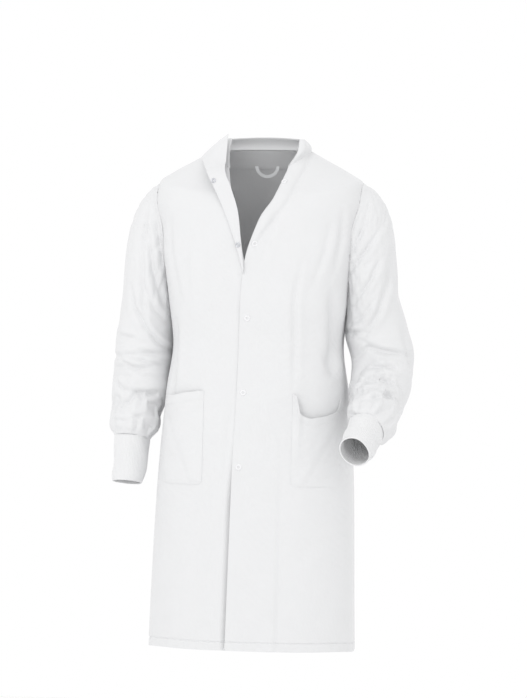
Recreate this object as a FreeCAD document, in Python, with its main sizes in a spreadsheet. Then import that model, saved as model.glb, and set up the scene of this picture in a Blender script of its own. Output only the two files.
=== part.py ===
"""Lab coat: stand collar, snap front, two hip pockets and knitted cuffs, filled as when worn.

Frame, in millimetres: +X is the wearer's left, +Y their back, +Z up. The origin is at the base
of the neck. The torso is a loft through upright-standing ellipses, so a layer of cloth is the
difference of two such lofts, and each panel is the part of a layer between straight cuts.
"""
import math
import os

import FreeCAD
import Part
from FreeCAD import Placement, Rotation, Vector

SIZES = {
    "coat_length": 965.0,        # nape to hem
    "cloth": 1.2,                # shell fabric, with its seam allowances
    "facing_cloth": 0.8,
    "interlining_cloth": 0.5,
    "knit": 2.4,                 # cuff, two layers of rib
    "seam_gap": 0.3,             # clearance between pieces that lie on each other
    "front_lap": 12.0,           # left edge past the snap line
    "underlap": 25.0,            # right edge past the snap line, on the other side
    "underlap_inset": 6.0,       # how far the right edge lies behind the left
    "facing_width": 50.0,
    "snap_pitch": 142.0,
    "first_snap_drop": 42.0,
    "snap_cap_radius": 5.8,
    "pocket_inner_half": 86.0,
    "pocket_outer_half": 172.0,
    "pocket_top_drop": 465.0,
    "pocket_height": 180.0,
    "pocket_gape": 13.0,
    "pocket_margin": 4.0,
    "armhole_half_height": 97.0,
    "armhole_half_depth": 66.0,
    "armhole_drop": 183.0,
    "armhole_plane_half": 190.0,  # half width across the coat at the armhole's centre
    "armhole_lean": 7.6,          # degrees by which the armhole leans in at the bottom
    "armhole_cut_start": 140.0,   # where the cutter of an armhole starts, across the coat
    "armhole_cut_length": 120.0,
    "neck_facing_drop": 78.0,
    "elbow_gap": 6.0,
    "loop_outer_radius": 24.0,
    "loop_tape": 6.0,
    "loop_back": 68.0,
    "loop_drop": 24.0,
}

# Torso stations from the neck down: drop below the nape, half width, half depth
TORSO = {
    "neck": (20, 108, 82),
    "slope": (45, 152, 98),
    "shoulder": (78, 194, 112),
    "tip": (100, 201, 120),
    "yoke": (150, 190, 128),
    "chest": (215, 181, 132),
    "underarm": (290, 174, 134),
    "waist": (376, 163, 130),
    "pocket": (482, 178, 135),
    "hip": (656, 191, 143),
    "hem": (965, 199, 155),
}

# Collar stations, also from the top down
COLLAR = {
    "collar_top": (-25, 90, 73),
    "collar_middle": (0, 98, 77),
    "collar_base": (19.7, 106, 80),
}

# Sleeve stations from the shoulder down: centre x, y, z, half width, half depth
SLEEVES = {
    "left": {
        "head": (208, 0, -84, 12, 30),
        "crown": (211, 0, -102, 25, 48),
        "cap": (215, 2, -135, 37, 60),
        "biceps": (222, 8, -210, 46, 66),
        "triceps": (233, 20, -290, 48, 64),
        "upper_elbow": (248, 32, -355, 54, 60),
        "elbow": (257, 34, -400, 55, 58),
        "forearm": (251, -5, -435, 52, 54),
        "middle": (242, -60, -475, 48, 50),
        "gather": (235, -115, -517, 40, 44),
        "sleeve_end": (230, -135, -533, 35, 38),
    },
    "right": {
        "head": (-208, 0, -84, 12, 30),
        "crown": (-211, 0, -102, 25, 48),
        "cap": (-214, 0, -135, 37, 60),
        "biceps": (-221, 0, -210, 44, 66),
        "triceps": (-227, 2, -290, 45, 62),
        "upper_elbow": (-231, 4, -350, 48, 56),
        "elbow": (-235, 6, -395, 49, 54),
        "forearm": (-238, 2, -440, 50, 52),
        "middle": (-240, -8, -500, 47, 50),
        "gather": (-243, -16, -545, 40, 44),
        "sleeve_end": (-244, -20, -560, 35, 38),
    },
}
CUFFS = {
    "left": {
        "cuff_top": (229.6, -136.5, -534.5, 35, 38),
        "cuff_middle": (223, -162, -554, 32, 35),
        "cuff_end": (215, -192, -574, 29, 32),
    },
    "right": {
        "cuff_top": (-244, -21, -564.5, 35, 38),
        "cuff_middle": (-246, -27, -605, 30, 35),
        "cuff_end": (-248, -34, -648, 26, 33),
    },
}
# The way each elbow turns when it bends, and how far it may straighten and bend, in degrees
ELBOW_AXES = {"left": (-0.944, 0.297, -0.145), "right": (-1.0, 0.0, 0.0)}
ELBOW_RANGES = {"left": (-45, 35), "right": (-8, 60)}

# The open neck, as points x, z down one edge: bottom of the V, breast, collar, above the collar
LEFT_V = [(-12, -222), (14, -135), (60, -30), (84, 45)]
RIGHT_V = [(-12, -222), (-24, -125), (-60, -21), (-84, 45)]
# The right facing turned out as a lapel: its free edge, from the collar down
LAPEL_EDGE = [(-96, -40), (-62, -106), (-32, -174), (-10, -236)]

STEP = (5.0, 8.0)     # the step to the underlap, as distances past the left edge
ELBOW_SPARE = 1.5     # degrees of clearance added to each way that an elbow turns
BIG = 1100.0          # larger than the coat, for cutting blocks
elbow_cuts = {}       # each sleeve's shell and cutting wedges, for its elbow stretch

doc = FreeCAD.newDocument("LabCoat")
sheet = doc.addObject("Spreadsheet::Sheet", "Sizes")
row = 0


def add_size(alias, value):
    """Put one driving dimension in the sheet under its alias."""
    global row
    row += 1
    sheet.set(f"A{row}", alias)
    sheet.set(f"B{row}", str(value))
    sheet.setAlias(f"B{row}", alias)


def size(alias):
    """Read a driving dimension back from the sheet."""
    return float(sheet.get(alias))


def fill_sheet():
    """Write every driving dimension to the sheet."""
    for alias, value in SIZES.items():
        add_size(alias, value)
    for name, (drop, half, depth) in {**TORSO, **COLLAR}.items():
        add_size(f"{name}_drop", drop)
        add_size(f"{name}_half", half)
        add_size(f"{name}_depth", depth)
    for side in SLEEVES:
        for name, (x, y, z, half, depth) in {**SLEEVES[side], **CUFFS[side]}.items():
            add_size(f"{side}_{name}_half", half)
            add_size(f"{side}_{name}_depth", depth)
    doc.recompute()


# ---------------------------------------------------------------- building blocks


def cut(name, base, tool):
    made = doc.addObject("Part::Cut", name)
    made.Base = base
    made.Tool = tool
    return made


def common(name, *shapes):
    made = doc.addObject("Part::MultiCommon", name)
    made.Shapes = list(shapes)
    return made


def fuse(name, *shapes):
    made = doc.addObject("Part::MultiFuse", name)
    made.Shapes = list(shapes)
    return made


def ellipse(name, major, minor, placement, drop=None):
    """An ellipse whose radii are expressions of the sheet, and its height too if drop is given."""
    made = doc.addObject("Part::Ellipse", name)
    made.setExpression("MajorRadius", major)
    made.setExpression("MinorRadius", minor)
    made.Placement = placement
    if drop:
        made.setExpression("Placement.Base.z", f"-({drop})")
    return made


def loft(name, sections):
    made = doc.addObject("Part::Loft", name)
    made.Sections = sections
    made.Solid = True
    made.Ruled = True
    return made


def upright_loft(name, stations, grow, longer=0):
    """A loft through level ellipses, grown outwards by an expression such as -Sizes.cloth. One
    that hollows another is longer at both ends, so that no two end faces coincide."""
    reach = {0: -longer, len(stations) - 1: longer}
    sections = [
        ellipse(
            f"{name}_{station}",
            f"Sizes.{station}_half + {grow}",
            f"Sizes.{station}_depth + {grow}",
            Placement(),
            f"Sizes.{station}_drop + {reach.get(i, 0)}",
        )
        for i, station in enumerate(stations)
    ]
    return loft(name, sections)


def prism(name, outline):
    """Everything in front of an outline drawn on the XZ plane."""
    line = doc.addObject("Part::Polygon", f"{name}_outline")
    line.Nodes = [Vector(x, 0, z) for x, z in outline]
    line.Close = True
    made = doc.addObject("Part::Extrusion", name)
    made.Base = line
    made.DirMode = "Custom"
    made.Dir = Vector(0, -1, 0)
    made.LengthFwd = BIG
    made.Solid = True
    return made


def block(name, point, direction):
    """A large block that starts at a point and fills the side that a direction points to."""
    made = doc.addObject("Part::Box", name)
    made.Length = made.Width = made.Height = 2 * BIG
    turn = Rotation(Vector(0, 0, 1), Vector(direction))
    corner = turn.multVec(Vector(-BIG, -BIG, 0))
    made.Placement = Placement(Vector(point) + corner, turn)
    return made


def labelled(made, label):
    made.Label = label
    return made


# ---------------------------------------------------------------- torso


def torso_layer(name, outer_grow, inner_grow):
    """The layer of cloth between two offsets of the torso."""
    outer = upright_loft(f"{name}_outside", TORSO, outer_grow)
    inner = upright_loft(f"{name}_inside", TORSO, inner_grow, longer=0.2)
    return cut(name, outer, inner)


def armhole(side, sign):
    """The elliptical cutter of one armhole, from the chest outwards."""
    turn = Rotation(Vector(0, 0, 1), Vector(0, 1, 0), Vector(-1, 0, 0), "XYZ")
    hole = ellipse(
        f"{side}_armhole_line",
        "Sizes.armhole_half_height",
        "Sizes.armhole_half_depth",
        Placement(Vector(sign * size("armhole_cut_start"), 0, 0), turn),
        "Sizes.armhole_drop",
    )
    made = doc.addObject("Part::Extrusion", f"{side}_armhole_cutter")
    made.Base = hole
    made.DirMode = "Custom"
    made.Dir = Vector(sign, 0, 0)
    made.setExpression("LengthFwd", "Sizes.armhole_cut_length")
    made.Solid = True
    return made


def strip_outline(edge, width, bottom):
    """A strip of one width that runs down a V edge and on to the hem."""
    sign = 1 if edge is LEFT_V else -1
    shifted = [(x + sign * width, z - 0.3 * width * (z > edge[0][1])) for x, z in edge]
    return (
        [(edge[0][0], bottom)] + edge + shifted[::-1] + [(edge[0][0] + sign * width, bottom)]
    )


def front_and_back():
    """The three large panels and the strips behind the front edges."""
    gap, lap = size("seam_gap"), size("front_lap")
    hem = -size("coat_length") - 5
    v_bottom = LEFT_V[0][1]
    shell = torso_layer("shell", "0", "-Sizes.cloth")
    holes = [armhole("left", 1), armhole("right", -1)]
    open_shell = cut("shell_with_armholes", shell, fuse("armholes", *holes))

    behind = block("behind", (0, gap, 0), (0, 1, 0))
    ahead = block("ahead", (0, -gap, 0), (0, -1, 0))
    labelled(common("Back", open_shell, behind), "back_panel")

    opening = prism("open_neck", RIGHT_V[::-1] + LEFT_V[1:])

    left_side = block("left_side", (-lap, 0, 0), (1, 0, 0))
    left_front = common("LeftFrontWhole", open_shell, ahead, left_side)
    labelled(cut("LeftFront", left_front, opening), "left_front_panel")

    # the right front steps back behind the left one along the snap line
    right_side = block("right_side", (-lap - 1.0, 0, 0), (-1, 0, 0))
    right_main = common("RightFrontWhole", open_shell, ahead, right_side)
    inset = "Sizes.underlap_inset"
    under_layer = torso_layer("under_layer", f"-{inset}", f"-{inset} - Sizes.cloth")
    step_layer = torso_layer("step_layer", "0", f"-{inset} - Sizes.cloth")
    lap_end = size("underlap")
    step_near, step_far = (-lap - distance for distance in STEP)
    under_top = v_bottom - STEP[1]
    under_box = prism("under_strip", [(step_far, hem), (lap_end, hem),
                                      (lap_end, under_top), (step_far, under_top)])
    step_box = prism("step_strip", [(step_far, hem), (step_near, hem),
                                    (step_near, under_top), (step_far, under_top)])
    right_front = fuse(
        "RightFrontWithLap",
        right_main,
        common("under_lap", under_layer, under_box),
        common("step", step_layer, step_box),
    )
    labelled(cut("RightFront", right_front, opening), "right_front_panel")

    facings(opening, ahead, hem)


def facings(opening, ahead, hem):
    """The facing and interlining strips: the left behind its edge, the right behind its own
    underlap and, above the V, turned out over the front as a lapel."""
    gap, lap, width = size("seam_gap"), size("front_lap"), size("facing_width")
    v_bottom = LEFT_V[0][1]
    first = "Sizes.cloth + Sizes.seam_gap"
    second = f"{first} + Sizes.interlining_cloth + Sizes.seam_gap"
    layers = {
        "interlining": (f"-({first})", f"-({first} + Sizes.interlining_cloth)"),
        "facing": (f"-({second})", f"-({second} + Sizes.facing_cloth)"),
    }
    for kind, (outer, inner) in layers.items():
        strip_width = width if kind == "facing" else width / 2
        layer = torso_layer(f"left_{kind}_layer", outer, inner)
        strip = prism(f"left_{kind}_strip", strip_outline(LEFT_V, strip_width, hem))
        whole = common(f"Left{kind}Whole", layer, strip, ahead)
        labelled(cut(f"Left{kind}", whole, opening), f"left_front_{kind}")

    inset_name = "underlap_inset"
    inset = f"Sizes.{inset_name}"
    lap_end = size("underlap")
    under = {}
    for kind, (outer, inner) in layers.items():
        layer = torso_layer(f"right_{kind}_layer", f"-{inset} {outer}", f"-{inset} {inner}")
        start = lap_end - (width - size(inset_name) if kind == "facing" else width / 2)
        top = v_bottom - STEP[1]
        outline = [(start, hem), (lap_end, hem), (lap_end, top), (start, top)]
        under[kind] = common(f"Right{kind}", layer, prism(f"right_{kind}_strip", outline))
    labelled(under["interlining"], "right_front_interlining")

    proud = "Sizes.seam_gap * 2"
    lapel_layer = torso_layer("lapel_layer", f"{proud} + Sizes.facing_cloth", proud)
    lapel_outline = RIGHT_V[:-1] + LAPEL_EDGE
    lapel = common("lapel", lapel_layer, prism("lapel_strip", lapel_outline), ahead)
    pair = doc.addObject("Part::Compound", "RightFacing")
    pair.Links = [under["facing"], lapel]
    labelled(pair, "right_front_facing")

    neck_layer = torso_layer("neck_facing_layer", "-(Sizes.cloth + Sizes.seam_gap)",
                             "-(Sizes.cloth + Sizes.seam_gap + Sizes.facing_cloth)")
    top = block("neck_facing_top", (0, 0, -size("neck_facing_drop")), (0, 0, 1))
    behind = block("neck_facing_behind", (0, gap, 0), (0, 1, 0))
    labelled(common("NeckFacing", neck_layer, top, behind), "back_neck_facing")


def collar():
    """The stand collar: outer layer, stiffener and lining, open at the front."""
    gap = "Sizes.seam_gap"
    edges = {
        "collar_outer": ("0", "-Sizes.cloth"),
        "collar_interlining": (
            f"-(Sizes.cloth + {gap})",
            f"-(Sizes.cloth + {gap} + Sizes.interlining_cloth)",
        ),
        "collar_lining": (
            f"-(Sizes.cloth + 2 * {gap} + Sizes.interlining_cloth)",
            f"-(Sizes.cloth + 2 * {gap} + Sizes.interlining_cloth + Sizes.facing_cloth)",
        ),
    }
    opening = prism("collar_opening", [(-60, -30), (60, -30), (88, 60), (-88, 60)])
    for label, (outer_grow, inner_grow) in edges.items():
        outer = upright_loft(f"{label}_outside", COLLAR, outer_grow)
        inner = upright_loft(f"{label}_inside", COLLAR, inner_grow, longer=0.1)
        ring = cut(f"{label}_ring", outer, inner)
        labelled(cut(f"{label}_open", ring, opening), label)


def pocket(side, sign):
    """A patch pocket: a front wall that stands off the panel, closed at the sides and bottom."""
    inner, outer = size("pocket_inner_half"), size("pocket_outer_half")
    top = -size("pocket_top_drop")
    bottom = top - size("pocket_height")
    margin = size("pocket_margin")

    def outline(inset, above):
        ends = (sign * (inner + inset), sign * (outer - inset))
        return [(ends[0], bottom + inset), (ends[1], bottom + inset),
                (ends[1], top + above), (ends[0], top + above)]

    gape = "Sizes.pocket_gape"
    body = common(
        f"{side}_pocket_body",
        torso_layer(f"{side}_pocket_layer", f"{gape} + Sizes.cloth", "Sizes.seam_gap"),
        prism(f"{side}_pocket_outline", outline(0, 0)),
    )
    hollow = common(
        f"{side}_pocket_hollow",
        torso_layer(f"{side}_pocket_space", gape, "-1"),
        prism(f"{side}_pocket_inner_outline", outline(margin, 10)),
    )
    labelled(cut(f"{side}_pocket", body, hollow), f"{side}_hip_pocket")


# ---------------------------------------------------------------- sleeves


def station_frames(stations):
    """A placement for each sleeve station: its ellipse lies across the sleeve's own direction,
    long axis fore and aft."""
    centres = [Vector(*s[:3]) for s in stations.values()]
    frames = {}
    for i, name in enumerate(stations):
        ahead = centres[min(i + 1, len(centres) - 1)] - centres[max(i - 1, 0)]
        ahead.normalize()
        if name in ("head", "crown"):
            ahead = Vector(0, 0, -1)
        across = Vector(1, 0, 0) - ahead * ahead.x
        across.normalize()
        fore = ahead.cross(across)
        frames[name] = Placement(centres[i], Rotation(fore, across, ahead * -1, "XYZ"))
    return frames


def tube(name, side, stations, grow, reach=(0, 0)):
    """A loft along one sleeve, grown by an expression. reach moves its first and last stations
    along the sleeve: the one that hollows another starts and ends past its end faces."""
    frames = station_frames(stations)
    sections = []
    for i, (station, frame) in enumerate(frames.items()):
        place = frame.copy()
        along = {0: -reach[0], len(frames) - 1: reach[1]}.get(i, 0)
        place.move(frame.Rotation.multVec(Vector(0, 0, -along)))
        sections.append(ellipse(
            f"{name}_{station}",
            f"Sizes.{side}_{station}_depth + {grow}",
            f"Sizes.{side}_{station}_half + {grow}",
            place,
        ))
    return loft(name, sections)


def armhole_normal(sign):
    """The direction straight out of one armhole."""
    lean = math.radians(size("armhole_lean"))
    return Vector(sign * math.cos(lean), 0, -math.sin(lean))


def turned(direction, axis, degrees):
    return Rotation(axis, degrees).multVec(direction)


def sleeve(side, sign):
    """One sleeve in three stretches. The elbow stretch is the cloth that folds; the cuts above
    and below it leave the room that the joint's range needs."""
    stations = SLEEVES[side]
    cloth = size("cloth")
    outer = tube(f"{side}_sleeve_outside", side, stations, "0")
    inner = tube(f"{side}_sleeve_inside", side, stations, "-Sizes.cloth", (-cloth, 1))
    shell = cut(f"{side}_sleeve_shell", outer, inner)
    start = Vector(sign * size("armhole_plane_half"), 0, -size("armhole_drop"))
    outside = block(f"{side}_armhole_plane", start, armhole_normal(sign))
    shell = common(f"{side}_sleeve_cloth", shell, outside)

    pivot = Vector(*stations["elbow"][:3])
    axis = Vector(*ELBOW_AXES[side])
    axis.normalize()

    def across_axis(v):
        flat = v - axis * v.dot(axis)
        flat.normalize()
        return flat

    up = across_axis(Vector(*stations["biceps"][:3]) - pivot)
    down = across_axis(Vector(*CUFFS[side]["cuff_end"][:3]) - pivot)
    inside = across_axis(up + down)
    if side == "right":
        inside = across_axis(Vector(0, -1, 0))
    least, most = ELBOW_RANGES[side]
    half_bend, half_straighten = most / 2 + ELBOW_SPARE, -least / 2 + ELBOW_SPARE
    rise = inside.cross(axis)
    if rise.dot(up) < 0:
        rise = rise * -1

    def half_spaces(label, towards, clearance):
        """The two blocks whose overlap is the wedge kept by one rigid stretch."""
        sense = 1 if towards.dot(rise) > 0 else -1
        apex = pivot + rise * (sense * (size("elbow_gap") + clearance))
        tilt = 1 if turned(rise, axis, 1).dot(inside) > 0 else -1
        front = turned(rise * sense, axis, -tilt * sense * half_bend)
        back = turned(rise * sense, axis, tilt * sense * half_straighten)
        return [block(f"{label}_front", apex, front), block(f"{label}_back", apex, back)]

    gap = size("seam_gap")
    upper = half_spaces(f"{side}_upper", up, 0)
    lower = half_spaces(f"{side}_lower", down, 0)
    labelled(common(f"{side}_SleeveUpper", shell, *upper), f"{side}_sleeve_upper")
    labelled(common(f"{side}_SleeveLower", shell, *lower), f"{side}_sleeve_lower")
    wide_upper = common(f"{side}_upper_room", *half_spaces(f"{side}_upper_wide", up, -gap))
    wide_lower = common(f"{side}_lower_room", *half_spaces(f"{side}_lower_wide", down, -gap))
    elbow_cuts[side] = (shell, wide_upper, wide_lower)


def elbow_stretch(side):
    """The cloth between the two rigid stretches, both cut away at once."""
    shell, upper, lower = elbow_cuts[side]
    made = doc.addObject("Part::Feature", f"{side}_SleeveElbow")
    made.Shape = shell.Shape.cut([upper.Shape, lower.Shape])
    labelled(made, f"{side}_sleeve_elbow")


def cuff(side):
    """A knitted cuff, a plain tapered tube here."""
    outer = tube(f"{side}_cuff_outside", side, CUFFS[side], "0")
    inner = tube(f"{side}_cuff_inside", side, CUFFS[side], "-Sizes.knit", (1, 1))
    labelled(cut(f"{side}_Cuff", outer, inner), f"{side}_cuff")


# ---------------------------------------------------------------- snaps and loop


def turned_solid(name, profile):
    """A body turned about the Z axis from a profile of radius and height."""
    body = doc.addObject("PartDesign::Body", name)
    sketch = body.newObject("Sketcher::SketchObject", f"{name}_profile")
    plane = [f for f in body.Origin.OriginFeatures if f.Role == "XZ_Plane"][0]
    sketch.AttachmentSupport = (plane, [""])
    sketch.MapMode = "FlatFace"
    points = [Vector(r, z, 0) for r, z in profile]
    for a, b in zip(points, points[1:] + points[:1]):
        sketch.addGeometry(Part.LineSegment(a, b))
    revolution = body.newObject("PartDesign::Revolution", f"{name}_turned")
    revolution.Profile = sketch
    revolution.ReferenceAxis = (sketch, ["V_Axis"])
    revolution.Angle = 360.0
    return body


def torso_point(outer, x, z):
    """Where the front of the torso is at x, z, and the direction straight out of it."""
    line = Part.makeLine(Vector(x, -5, z), Vector(x, -BIG, z))
    hit = min((v.Point for v in line.common(outer.Shape).Vertexes), key=lambda p: p.y)
    face = outer.Shape.Faces[0]
    for candidate in outer.Shape.Faces:
        if candidate.distToShape(Part.Vertex(hit))[0] < 1e-4:
            face = candidate
    u, v = face.Surface.parameter(hit)
    normal = face.normalAt(u, v)
    if normal.dot(hit) < 0:
        normal = normal * -1
    return hit, normal


def snap_group(label, template, places):
    """One node with a copy of a turned part at each place, its Z axis along the direction."""
    copies = []
    for point, direction in places:
        shape = template.Shape.copy()
        shape.Placement = Placement(point, Rotation(Vector(0, 0, 1), direction))
        copies.append(shape)
    made = doc.addObject("Part::Feature", f"{label}_group")
    made.Shape = Part.makeCompound(copies)
    labelled(made, label)


def snaps():
    """Five snaps: a ring cap and socket on the left front, a stud and ring post on the right."""
    outer = doc.getObject("shell_outside")
    radius = size("snap_cap_radius")
    gap, cloth = size("seam_gap"), size("cloth")
    strips = 2 * gap + size("interlining_cloth") + size("facing_cloth")
    inset = size("underlap_inset")
    cap = turned_solid("CapTemplate", [(1.9, 0), (radius, 0), (radius, 0.7),
                                       (radius - 0.8, 1.3), (2.8, 1.3), (1.9, 0.7)])
    socket = turned_solid("SocketTemplate", [(1.6, 0), (4.6, 0), (4.6, 1.0), (1.6, 1.0)])
    stud = turned_solid("StudTemplate", [(0, 0), (4.6, 0), (4.6, 0.5), (1.4, 0.5),
                                         (1.4, 1.1), (0, 1.1)])
    post = turned_solid("PostTemplate", [(1.9, 0), (5.2, 0), (5.2, 1.0), (1.9, 1.0)])
    doc.recompute()

    drops = [size("first_snap_drop") + i * size("snap_pitch") for i in range(5)]
    closed = [torso_point(outer, 0, -drop) for drop in drops[2:]]
    open_left = [torso_point(outer, x, -drop) for x, drop in zip((68, 21), drops[:2])]
    lapel = [torso_point(outer, x, z) for x, z in ((-78, -58), (-21, -170))]

    def along(places, distance):
        return [(point + normal * distance, normal) for point, normal in places]

    snap_group("snap_caps", cap, along(open_left + closed, gap))
    behind_left = cloth + strips + 0.2
    snap_group("snap_sockets", socket, along(open_left + closed, -behind_left - 1.0))
    stud_place = -inset + 0.2
    lapel_face = 2 * gap + size("facing_cloth") + 0.2
    studs = [(p, n * -1) for p, n in along(lapel, -cloth - 0.3)] + along(closed, stud_place)
    snap_group("snap_studs", stud, studs)
    posts = along(lapel, lapel_face) + along(closed, -inset - cloth - strips - 1.3)
    snap_group("snap_posts", post, posts)


def hang_loop():
    """A flat tape loop inside the back of the neck."""
    rings = {}
    for name, shrink in (("outer", 0.0), ("inner", size("loop_tape"))):
        disc = doc.addObject("Part::Cylinder", f"loop_{name}")
        disc.setExpression("Radius", f"Sizes.loop_outer_radius - {shrink}")
        disc.setExpression("Height", "Sizes.cloth")
        disc.Placement = Placement(
            Vector(0, size("loop_back"), -size("loop_drop")),
            Rotation(Vector(1, 0, 0), -90),
        )
        rings[name] = disc
    ring = cut("loop_ring", rings["outer"], rings["inner"])
    below = block("loop_below", (0, 0, -size("loop_drop")), (0, 0, -1))
    labelled(common("HangLoop", ring, below), "hang_loop")


# ---------------------------------------------------------------- build and export

fill_sheet()
front_and_back()
collar()
for side_name, side_sign in (("left", 1), ("right", -1)):
    pocket(side_name, side_sign)
    sleeve(side_name, side_sign)
    cuff(side_name)
hang_loop()
doc.recompute()
elbow_stretch("left")
elbow_stretch("right")
snaps()
doc.recompute()

NODES = [
    "back_panel", "back_neck_facing", "left_front_panel", "right_front_panel",
    "left_front_facing", "right_front_facing", "left_front_interlining",
    "right_front_interlining", "collar_outer", "collar_interlining", "collar_lining",
    "left_hip_pocket", "right_hip_pocket", "left_sleeve_upper", "left_sleeve_elbow",
    "left_sleeve_lower", "right_sleeve_upper", "right_sleeve_elbow", "right_sleeve_lower",
    "left_cuff", "right_cuff", "snap_caps", "snap_sockets", "snap_studs", "snap_posts",
    "hang_loop",
]

failed = [o.Name for o in doc.Objects if "Invalid" in o.State or "Error" in o.State]
if failed:
    raise RuntimeError(f"these objects did not compute: {failed}")

os.makedirs("parts", exist_ok=True)
for node in NODES:
    shape = doc.getObjectsByLabel(node)[0].Shape
    if shape.isNull() or not shape.isValid() or not shape.Solids:
        raise RuntimeError(f"{node} has no valid solid")
    shape.exportStep(f"parts/{node}.step")
    box = shape.BoundBox
    print(f"{node}: {len(shape.Solids)} solids, {shape.Volume / 1000:.1f} cm3, "
          f"x {box.XMin:.0f}..{box.XMax:.0f} y {box.YMin:.0f}..{box.YMax:.0f} "
          f"z {box.ZMin:.0f}..{box.ZMax:.0f}")
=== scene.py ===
"""A worn lab coat: cloth panels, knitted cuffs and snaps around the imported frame.

Metres, the frame of the CAD model: +X the wearer's left, -Y their front, +Z up. Every cloth
piece is a grid of points: rows run down the coat, columns across it. The torso and the sleeves
are shaped as grids, settle as cloth over a hidden form, and are then cut into their panels.
"""
import math

import bpy
import numpy as np
from mathutils import Matrix, Vector
from mathutils.bvhtree import BVHTree


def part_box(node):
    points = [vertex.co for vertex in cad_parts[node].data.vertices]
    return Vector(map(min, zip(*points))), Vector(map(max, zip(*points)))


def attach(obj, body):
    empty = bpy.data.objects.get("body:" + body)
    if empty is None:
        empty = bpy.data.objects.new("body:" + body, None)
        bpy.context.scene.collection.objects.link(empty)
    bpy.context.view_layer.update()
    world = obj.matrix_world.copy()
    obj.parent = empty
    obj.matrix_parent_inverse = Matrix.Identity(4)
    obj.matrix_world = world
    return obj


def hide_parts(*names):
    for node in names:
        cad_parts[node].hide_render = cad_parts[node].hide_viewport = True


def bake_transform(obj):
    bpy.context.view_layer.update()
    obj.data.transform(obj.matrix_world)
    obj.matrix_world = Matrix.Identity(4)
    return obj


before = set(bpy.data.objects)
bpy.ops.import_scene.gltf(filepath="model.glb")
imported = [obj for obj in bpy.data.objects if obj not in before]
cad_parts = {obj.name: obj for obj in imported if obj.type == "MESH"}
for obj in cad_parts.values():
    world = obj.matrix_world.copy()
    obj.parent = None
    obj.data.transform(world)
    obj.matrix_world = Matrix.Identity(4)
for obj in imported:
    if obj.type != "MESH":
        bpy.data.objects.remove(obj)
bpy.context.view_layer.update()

CLOTH = 0.0009              # thickness of one layer of poplin
SUFFIX = "_cloth"           # a cloth piece is named after the node that it stands for
HEM = 0.016                 # depth of the folded hems
SIM_STEP = 0.0071           # spacing of the simulated cloth's points
FINE = 2                    # final points for each simulated one on the torso, along each way
FINE_SLEEVE = 3             # the same on the sleeves
SLEEVE_GIRTH = 0.345        # along which a sleeve's points are spread
CAP_RUN = 0.20              # length of a sleeve from the armhole to below the underarm
TORSO_REACH = 0.014         # how far the simulation may move the torso's cloth
SLEEVE_REACH = 0.013        # and the sleeves' cloth
CREASE_GAIN = 1.25          # how much deeper the sleeves' creases are than their tables say
CREASE_REACH = 0.0042       # the most that creases may move a sleeve's cloth where they cross
SCATTERED = 14              # creases strewn over each forearm
V_BOTTOM = -0.222           # where the two front edges meet
HEM_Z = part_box("back_panel")[0][2]

# Torso, from the neck down: height, half width, half depth, squareness of the section
TORSO = np.array([
    (0.002, 0.096, 0.076, 2.0),
    (-0.020, 0.136, 0.091, 2.1),
    (-0.040, 0.172, 0.102, 2.2),
    (-0.060, 0.199, 0.110, 2.4),
    (-0.100, 0.204, 0.119, 2.6),
    (-0.150, 0.193, 0.127, 2.7),
    (-0.215, 0.184, 0.131, 3.1),
    (-0.290, 0.174, 0.133, 2.9),
    (-0.376, 0.164, 0.129, 2.75),
    (-0.482, 0.178, 0.134, 2.7),
    (-0.656, 0.191, 0.142, 2.5),
    (-0.965, 0.200, 0.153, 2.5),
])

# The front edges: height, then how far the edge is from the coat's middle line
LEFT_EDGE = np.array([
    (-0.035, 0.061), (-0.055, 0.052), (-0.095, 0.038), (-0.135, 0.015), (-0.222, -0.012),
    (-0.300, -0.018), (-0.467, -0.0215), (-0.610, -0.0265), (-0.965, -0.033),
])
RIGHT_EDGE = np.array([
    (-0.021, -0.060), (-0.077, -0.042), (-0.125, -0.026), (-0.183, -0.018), (-0.222, -0.010),
    (-0.260, 0.016), (-0.965, 0.010),
])

# Sleeves from below the underarm to the cuff: centre, half width, half depth
SLEEVES = {
    "left": np.array([
        (0.219, 0.010, -0.285, 0.050, 0.063),
        (0.228, 0.018, -0.345, 0.060, 0.060),
        (0.243, 0.014, -0.395, 0.061, 0.057),
        (0.245, -0.014, -0.437, 0.058, 0.053),
        (0.240, -0.060, -0.477, 0.050, 0.050),
        (0.238, -0.112, -0.516, 0.043, 0.046),
        (0.230, -0.135, -0.533, 0.034, 0.037),
    ]),
    "right": np.array([
        (-0.218, -0.006, -0.285, 0.050, 0.062),
        (-0.223, -0.006, -0.350, 0.054, 0.057),
        (-0.226, -0.004, -0.395, 0.055, 0.055),
        (-0.228, -0.004, -0.440, 0.055, 0.053),
        (-0.238, -0.008, -0.500, 0.048, 0.050),
        (-0.243, -0.016, -0.542, 0.042, 0.045),
        (-0.244, -0.020, -0.561, 0.034, 0.037),
    ]),
}
CUFFS = {
    "left": np.array([
        (0.230, -0.134, -0.532, 0.0345, 0.0375), (0.223, -0.162, -0.554, 0.032, 0.035),
        (0.215, -0.192, -0.574, 0.030, 0.033),
    ]),
    "right": np.array([
        (-0.244, -0.020, -0.560, 0.0345, 0.0375), (-0.246, -0.027, -0.605, 0.031, 0.035),
        (-0.248, -0.034, -0.647, 0.029, 0.034),
    ]),
}
# How a sleeve head leaves the armhole: direction over the shoulder, armhole centre height, half
# height and half depth
CAPS = {
    "left": ((0.90, 0.0, -0.44), -0.169, 0.109, 0.058),
    "right": ((-0.84, 0.0, -0.54), -0.171, 0.108, 0.058),
}
SIGN = {"left": 1.0, "right": -1.0}


# ---------------------------------------------------------------- curves and grids


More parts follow.
